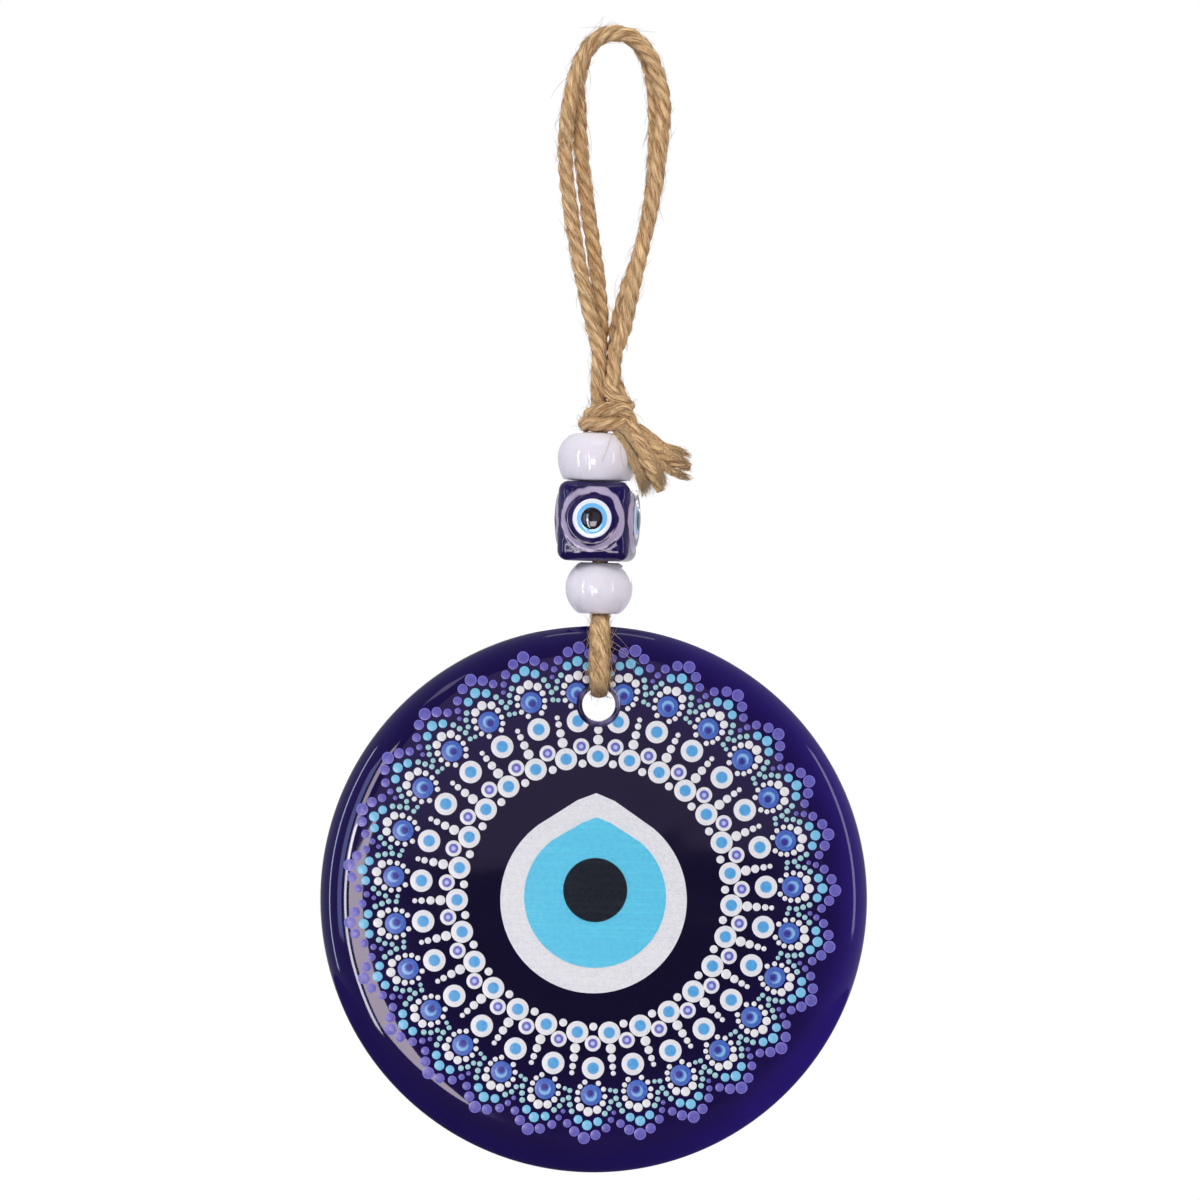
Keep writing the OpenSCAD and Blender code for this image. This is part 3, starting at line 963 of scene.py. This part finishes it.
def dot_mesh(name, petals, spokes, relief, rim_width, material):
    """All dots of one kind, each a low button of ink clipped at the hole's mouth."""
    rim = 28
    verts, faces, uvs = [], [], []
    hole = Vector((HOLE_CENTRE.x, 0, HOLE_CENTRE.z))
    mouth = HOLE_RADIUS + HOLE_LIP + 0.05 * MM
    places = [(0.5, dots) for dots in petals] + [(0.0, dots) for dots in spokes]
    for number in range(PETALS):
        for shift, (sideways, outward, radius) in places:
            turn = math.pi / 2 + 2 * math.pi / PETALS * (number + shift)
            out = Vector((math.cos(turn), 0, math.sin(turn)))
            right = Vector((math.sin(turn), 0, -math.cos(turn)))
            centre = laid((out * outward + right * sideways) * DOT_UNIT)
            size = radius * DOT_UNIT
            ring = [math.cos(2 * math.pi * k / rim) * right + math.sin(2 * math.pi * k / rim) * out
                    for k in range(rim)]
            spots = [(centre, relief)]
            for share, rise in ((0.82, relief), (1.0, 0.35 * relief), (1.0, -0.02 * MM)):
                spots += [(centre + d * size * share, rise) for d in ring]
            off = [(Vector((p.x, 0, p.z)) - hole).length for p, _ in spots]
            if min(off) < mouth and max(off) < mouth + 0.3 * size:
                continue
            first = len(verts)
            for (spot, rise), reach in zip(spots, off):
                if reach < mouth:
                    spot = hole + Vector((spot.x - hole.x, 0, spot.z - hole.z)).normalized() * mouth
                local = spot - centre
                uvs.append((local.dot(right) / size, local.dot(out) / size))
                from_middle = math.hypot(spot.x - DISC_CENTRE.x, spot.z - DISC_CENTRE.z)
                front = DISC_CENTRE.y - face_height(from_middle, rim_width)
                verts.append(Vector((spot.x, front - rise, spot.z)))
            for k in range(rim):
                nxt = (k + 1) % rim
                faces.append((first, first + 1 + k, first + 1 + nxt))
                for ring_number in range(2):
                    a = first + 1 + ring_number * rim
                    faces.append((a + k, a + rim + k, a + rim + nxt, a + nxt))
    piece = new_piece(name, verts, faces, material, uvs)
    rework(piece, lambda work: bmesh.ops.dissolve_degenerate(work, dist=0.004 * MM, edges=work.edges))
    smooth_by_angle(piece, 50)
    return piece


# ---------------------------------------------------------------- beads

def barrel_profile(radius, half, low_share, soft=0.5 * MM):
    """Closed loop: rounded mouths and a slice of an ellipsoid, whose lower half bulges by low_share."""
    steps = 16
    side = []
    for i in range(-steps, steps + 1):
        cut_turn = math.acos(low_share if i < 0 else 0.6)
        side.append((radius * math.cos(cut_turn * i / steps),
                     half * math.sin(cut_turn * i / steps) / math.sin(cut_turn)))
    mouth = [(BEAD_BORE_RADIUS + soft * (1 - math.sin(t)), half - soft * (1 - math.cos(t)))
             for t in (math.pi / 2 * i / 6 for i in range(7))]
    return [(r, -h) for r, h in reversed(mouth)] + side[1:-1] + mouth


def build_barrel_bead(name, low_share, material):
    low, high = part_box(name)
    middle = (low + high) / 2
    radius, half = (high.x - low.x) / 2, (high.z - low.z) / 2
    verts, faces = closed_lathe(barrel_profile(radius, half, low_share), 96)
    piece = new_piece(name + "_moulded", [v + middle for v in verts], faces, material)
    face_outward(piece)
    smooth_by_angle(piece, 60)
    return piece


def build_cube_bead(settings, material):
    """A rounded cube with a low round boss on each side and a bore along Z."""
    half, corner, boss, grid = CUBE_HALF, settings.cube_rounding, BOSS_RADIUS, 44
    work = bmesh.new()
    bmesh.ops.create_cube(work, size=2.0)
    bmesh.ops.subdivide_edges(work, edges=work.edges, cuts=grid, use_grid_fill=True)
    turn = Matrix.Rotation(CUBE_TURN, 4, "Z")
    worn = work.verts.layers.float.new("worn")
    for vert in work.verts:
        unit = vert.co.copy()
        flat = Vector([unit[i] * half[i] for i in range(3)])
        core = Vector([max(-half[i] + corner, min(half[i] - corner, flat[i])) for i in range(3)])
        normal = (flat - core).normalized()
        place = core + normal * corner
        for i in (0, 1):
            if abs(abs(unit[i]) - 1) < 1e-6:
                reach = math.hypot(flat[1 - i], flat[2] - BOSS_LIFT)
                rise = max(0.0, min(1.0, (boss + 0.5 * MM - reach) / (1.3 * MM)))
                ease = rise * rise * (3 - 2 * rise)
                groove = math.exp(-((reach - boss - 0.8 * MM) / (0.5 * MM)) ** 2)
                push = settings.boss_rise * ease - 0.12 * MM * groove
                place[i] += math.copysign(push, unit[i])
                # painted reflection: the worn mask is a ragged ring round the boss where its slope would
                # reflect the lights
                ragged = reach - boss - 0.05 * MM + 0.5 * MM * noise.noise(place / (1.9 * MM))
                patchy = 0.9 + 0.5 * noise.noise(place / (3.5 * MM))
                vert[worn] = max(0.0, patchy * math.exp(-(ragged / (0.8 * MM)) ** 4))
        ripple = noise.noise_vector(place / (5 * MM)) * 0.07 * MM
        vert.co = turn @ (place + ripple) + CUBE_AT
    mesh = bpy.data.meshes.new("cube_cast")
    work.to_mesh(mesh)
    work.free()
    mesh.materials.append(material)
    piece = linked("cube_cast", mesh)
    face_outward(piece)
    reach = half.z + 1 * MM
    verts, faces = capped_lathe([(BEAD_BORE_RADIUS, -reach), (BEAD_BORE_RADIUS, reach)], 64)
    cut(piece, [v + CUBE_AT for v in verts], faces)
    smooth_by_angle(piece, 50)
    return piece


def build_small_eye_layer(name, turn, radius, base, rise, material):
    """One domed round layer of a small eye on the cube's side."""
    steps = 7
    turns = [math.pi / 2 * i / steps for i in range(steps + 1)]
    dome = [(radius * math.cos(t) + 1e-6, base + rise * math.sin(t)) for t in turns]
    verts, faces = capped_lathe([(radius, base - 0.3 * MM)] + dome, 56)
    place = (Matrix.Translation(CUBE_AT + Vector((0, 0, BOSS_LIFT)))
             @ Matrix.Rotation(CUBE_TURN + turn, 4, "Z") @ Matrix.Rotation(math.radians(90), 4, "X"))
    uvs = [(v.x / radius, v.y / radius) for v in verts]
    piece = new_piece(name, [place @ v for v in verts], faces, material, uvs)
    face_outward(piece)
    smooth_by_angle(piece, 70)
    return piece


# ---------------------------------------------------------------- stage

def soft_box(name, place, target, size, power, colour):
    lamp = bpy.data.lights.new(name, "AREA")
    lamp.shape = "RECTANGLE"
    lamp.size, lamp.size_y = size
    lamp.energy = power
    lamp.color = colour
    box = linked(name, lamp)
    box.location = place
    box.rotation_euler = (Vector(target) - Vector(place)).to_track_quat("-Z", "Y").to_euler()
    return box


DIM_LIGHT = (0.10, 0.09, 0.12)


def build_world():
    """White to the camera, and a dim surround with brighter sides for what reflects and lights."""
    world = bpy.data.worlds.new("studio")
    world.use_nodes = True
    bpy.context.scene.world = world
    world.node_tree.nodes.clear()
    sky = Nodes(world.node_tree)
    spread = sky.add("ShaderNodeMapRange")
    spread.inputs[1].default_value = -1.0
    spread.inputs[2].default_value = 1.0
    sky.join(sky.split(sky.add("ShaderNodeTexCoord").outputs["Generated"])["Y"], spread.inputs[0])
    ramp = sky.add("ShaderNodeValToRGB")
    for stop, place, colour in zip(ramp.color_ramp.elements, (0.02, 0.5),
                                   ((*DIM_LIGHT, 1), (0.62, 0.60, 0.66, 1))):
        stop.position, stop.color = place, colour
    sky.join(spread.outputs[0], ramp.inputs[0])
    shade = sky.add("ShaderNodeBackground")
    seen = sky.add("ShaderNodeLightPath").outputs["Is Camera Ray"]
    sky.join(sky.mix(seen, ramp.outputs[0], (1.0, 1.0, 1.0)), shade.inputs[0])
    sky.join(shade.outputs[0], sky.add("ShaderNodeOutputWorld").inputs[0])


def floor_material():
    """Pale and slightly cloudy, but dim in reflections."""
    finish = Finish("pale_floor")
    cloud, _ = finish.mottle(finish.place(), 12.0, 400.0)
    pale = finish.mix(cloud, (0.86, 0.86, 0.86), (0.9, 0.9, 0.9))
    mirrored_view = finish.add("ShaderNodeLightPath").outputs["Is Glossy Ray"]
    finish.colour(finish.mix(mirrored_view, pale, DIM_LIGHT))
    finish.set(roughness=0.8)
    return finish.material


# ---------------------------------------------------------------- operators

class CHARM_OT_stage(Operator):
    """Camera, floor, lights and surround."""
    bl_idname = "charm.stage"
    bl_label = "Stage"

    def execute(self, context):
        settings = context.scene.charm_stage
        context.scene.view_settings.view_transform = "Standard"
        lens = bpy.data.cameras.new("view")
        lens.sensor_width = 36
        lens.lens = 36 * settings.camera_distance / settings.frame_width
        lens.clip_end = 10
        camera = linked("view", lens)
        lean = settings.camera_roll
        up = Vector((-math.sin(lean), 0, math.cos(lean)))
        right = Vector((math.cos(lean), 0, math.sin(lean)))
        back = right.cross(up)
        turn = Matrix((right, up, back)).transposed()
        aim = Vector((-0.31, 0, -122.58)) * MM
        camera.matrix_world = Matrix.Translation(aim + back * settings.camera_distance) @ turn.to_4x4()
        context.scene.camera = camera

        verts, faces = lathe([(1e-4, 0), (settings.floor_radius * 0.5, 0), (settings.floor_radius, 0)], 96)
        under = Vector((0, 0, CAD_BOX[0][2] - settings.floor_drop))
        floor = new_piece("floor", [v + under for v in verts], faces, floor_material())
        build_world()
        middle = (0, 0, -0.16)
        lamps = [
            # name, place, size, power, colour, lights surfaces, shows in reflections
            ("key_box", (-0.35, -0.85, 0.75), (0.5, 0.5), 7.6, (1.0, 0.985, 0.97), True, False),
            ("fill_box", (0.5, -1.3, -0.1), (0.6, 0.9), 5.2, (1.0, 0.98, 0.98), True, False),
            ("rose_low", (-0.26, -1.18, -0.35), (0.28, 0.30), 2.0, (1.0, 0.88, 0.96), False, True),
            ("rose_high", (-0.49, -1.09, -0.06), (0.10, 0.28), 0.55, (1.0, 0.88, 0.96), False, True),
            ("blue_panel", (-0.65, -0.98, -0.12), (0.15, 0.5), 0.8, (0.42, 0.5, 1.0), False, True),
            ("left_strip", (-0.50, -1.14, -0.46), (0.07, 0.74), 2.4, (0.95, 0.95, 1.0), False, True),
            ("upper_card", (-0.5, -0.95, 0.42), (0.14, 0.14), 0.12, (0.8, 0.75, 1.0), False, True),
            ("far_left_strip", (-0.95, -0.6, -0.1), (0.07, 0.9), 2.2, (0.62, 0.70, 1.0), True, True),
            ("right_box", (0.85, -0.75, 0.0), (0.12, 0.7), 1.0, (0.85, 0.8, 1.0), True, True),
            ("top_box", (0.0, -0.45, 0.95), (0.5, 0.12), 0.45, (0.95, 0.93, 1.0), True, True),
            ("haze_card", (-0.20, -2.4, 0.10), (0.84, 0.8), 1.0, (0.80, 0.62, 1.0), False, True),
            ("back_box", (0.3, 1.3, 0.5), (1.0, 1.0), 9.0, (0.97, 0.98, 1.0), True, True),
        ]
        for name, place, size, power, colour, lights, shows in lamps:
            lamp = soft_box(name, place, middle, size, power, colour)
            lamp.visible_diffuse, lamp.visible_glossy = lights, shows
        return {"FINISHED"}


class CHARM_OT_cord(Operator):
    """The doubled jute cord, its stray fibres and frayed ends."""
    bl_idname = "charm.cord"
    bl_label = "Jute cord"

    def execute(self, context):
        settings = context.scene.charm_cord
        cord, line, frames, length = build_cord(settings, jute_material("jute", settings, True))
        loose = jute_material("loose_jute", settings, False)
        fuzz = build_fuzz(settings, loose, line, frames)
        upper = fray("fray_upper", TAIL_UPPER[:-1] + [(18.8, 0, -93.2), (21.2, 0, -94.2)],
                     (1.6, 2.0, 2.2, 3.2, 3.4, 2.4), (1.6, 1.7, 1.8, 2.0, 1.9, 1.5),
                     0.9, settings.fray_fibres, 11, loose)
        lower = fray("fray_lower", [(1.6, -4.2, -84.0), (4.4, -4.6, -86.0), (6.8, -5.2, -89.2),
                                    (9.0, -5.5, -92.6), (10.9, -5.5, -96), (12.4, -5.4, -100.2)],
                     (1.4, 2.3, 2.8, 3.4, 4.1, 4.6), (1.4, 1.7, 1.8, 1.8, 1.7, 1.5),
                     0.25, settings.fray_fibres, 12, loose)
        names = ("loop_front_strand", "loop_back_strand", "cord_knot", "tail_upper", "tail_lower",
                 "leg_front", "leg_back", "cord_bight")
        for piece in (cord, fuzz):
            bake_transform(piece)
        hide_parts(*names)
        for piece in (upper, lower):
            settle(piece, "hanger", "jute")
        return {"FINISHED"}


class CHARM_OT_glass(Operator):
    """The cobalt glass disc with its rounded rim and cord hole."""
    bl_idname = "charm.glass"
    bl_label = "Glass disc"

    def execute(self, context):
        settings = context.scene.charm_glass
        settle(build_disc(settings, glass_material(settings)), "disc", "cobalt_glass", "glass_disc")
        return {"FINISHED"}


class CHARM_OT_print(Operator):
    """The big eye and the rings of printed dots."""
    bl_idname = "charm.print"
    bl_label = "Printed eye"

    def execute(self, context):
        ink = context.scene.charm_print
        pale = tuple(min(1.0, c * 1.5 + 0.04) for c in ink.purple)
        kinds = [
            ("white_dots", WHITE_DOTS, SPOKE_DOTS, ringed(ink.white)),
            ("ringed_dots", OUTER_RINGED, INNER_RINGED, ringed(ink.white, (0.52, ink.sky))),
            ("violet_dots", VIOLET_DOTS, [], ringed(ink.white, (0.60, ink.violet),
                                                    (0.26, (0.42, 0.55, 0.80)))),
            ("petal_eyes", EYE_DOTS, [], ringed(
                ink.eye_blue, (0.56, ink.eye_light, 0.02, 0.04, 0.1),
                (0.44, ink.eye_blue, 0.10, -0.14, 0.12), (0.30, ink.eye_navy, 0.10, -0.17, 0.08))),
            ("cyan_dots", CYAN_DOTS, [], ringed(ink.cyan)),
            ("mint_dots", MINT_DOTS, [], ringed(ink.mint)),
            ("purple_dots", PURPLE_DOTS, [], ringed(pale, (0.86, ink.purple, 0.0, 0.0, 0.16))),
        ]
        for name, petals, spokes, colour in kinds:
            piece = dot_mesh(name, petals, spokes, ink.relief, context.scene.charm_glass.rim_width,
                             ink_material(name + "_ink", colour))
            slot = "white_print" if name in ("white_dots", "ringed_dots") else "turquoise_print"
            settle(piece, "disc", slot)
            if name == "ringed_dots":
                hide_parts("dot_band")
        faces = {"eye_white": ink_material("sclera_ink", banded(ink.white, (0.72, 0.74, 0.74))),
                 "eye_iris": ink_material("iris_ink", banded(ink.turquoise, (0.10, 0.64, 0.82))),
                 "eye_pupil": ink_material("pupil_ink", banded(ink.black, (0.012, 0.02, 0.018)),
                                           specular=0.12)}
        for node, material in faces.items():
            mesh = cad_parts[node].data
            mesh.materials.clear()
            mesh.materials.append(material)
        return {"FINISHED"}


class CHARM_OT_barrels(Operator):
    """The two white barrel beads."""
    bl_idname = "charm.barrels"
    bl_label = "White beads"

    def execute(self, context):
        settings = context.scene.charm_bead
        material = gloss_material("white_gloss", settings.white, (0.78, 0.75, 0.80), 0.04,
                                  coat=0.6, subsurface=0.1)
        for name, low_share in (("upper_bead", 0.82), ("lower_bead", 0.6)):
            settle(build_barrel_bead(name, low_share, material), name, "white_bead", name)
        return {"FINISHED"}


class CHARM_OT_cube(Operator):
    """The cobalt cube bead and the small eye on each of its sides."""
    bl_idname = "charm.cube"
    bl_label = "Cube bead"

    def execute(self, context):
        settings = context.scene.charm_bead
        # the cube's worn ring is a painted reflection of the lights in each boss's slope
        cobalt = gloss_material("cobalt_gloss", settings.cobalt, (0.012, 0.005, 0.09), 0.05,
                                coat=0.15, worn=settings.worn, wave=0.35)
        settle(build_cube_bead(settings, cobalt), "cube_bead", "blue_bead", "cube_bead")
        base = CUBE_HALF.y + settings.boss_rise
        layers = [("white", 4.3, 0.0, 0.27, "white_print",
                   gloss_material("ring_white", settings.ring_white, (0.74, 0.82, 0.90), 0.06)),
                  ("blue", 3.35, 0.20, 0.27, "turquoise_print",
                   gloss_material("ring_blue", settings.ring_blue, (0.24, 0.60, 0.92), 0.06)),
                  ("pupil", 2.4, 0.38, 0.36, "black_print",
                   gloss_material("ring_black", settings.ring_black, (0.02, 0.02, 0.025), 0.04))]
        for side, degrees in (("front", 0), ("right", 90), ("back", 180), ("left", 270)):
            for layer, radius, lift, rise, slot, material in layers:
                node = f"{side}_{layer}"
                piece = build_small_eye_layer(node + "_dome", math.radians(degrees), radius * MM,
                                              base + lift * MM, rise * MM, material)
                settle(piece, "cube_bead", slot, node)
        return {"FINISHED"}


class CHARM_PT_panel(Panel):
    """Lists the ornament's pieces in the sidebar."""
    bl_idname = "CHARM_PT_panel"
    bl_label = "Evil eye ornament"
    bl_space_type = "VIEW_3D"
    bl_region_type = "UI"
    bl_category = "Ornament"

    def draw(self, context):
        for operator in OPERATORS:
            self.layout.operator(operator.bl_idname)
        for name, group in GROUPS.items():
            box = self.layout.box()
            box.label(text=group.__doc__)
            for prop in group.__annotations__:
                box.prop(getattr(context.scene, name), prop)


OPERATORS = (CHARM_OT_stage, CHARM_OT_cord, CHARM_OT_glass, CHARM_OT_print, CHARM_OT_barrels, CHARM_OT_cube)
CLASSES = (*GROUPS.values(), *OPERATORS, CHARM_PT_panel)


def register():
    for cls in CLASSES:
        bpy.utils.register_class(cls)
    for name, group in GROUPS.items():
        setattr(bpy.types.Scene, name, PointerProperty(type=group))


def unregister():
    for name in GROUPS:
        delattr(bpy.types.Scene, name)
    for cls in reversed(CLASSES):
        bpy.utils.unregister_class(cls)


def main():
    register()
    build_groups()
    bpy.ops.charm.stage()
    bpy.ops.charm.cord()
    bpy.ops.charm.glass()
    bpy.ops.charm.print()
    bpy.ops.charm.barrels()
    bpy.ops.charm.cube()


if __name__ == "__main__":
    main()
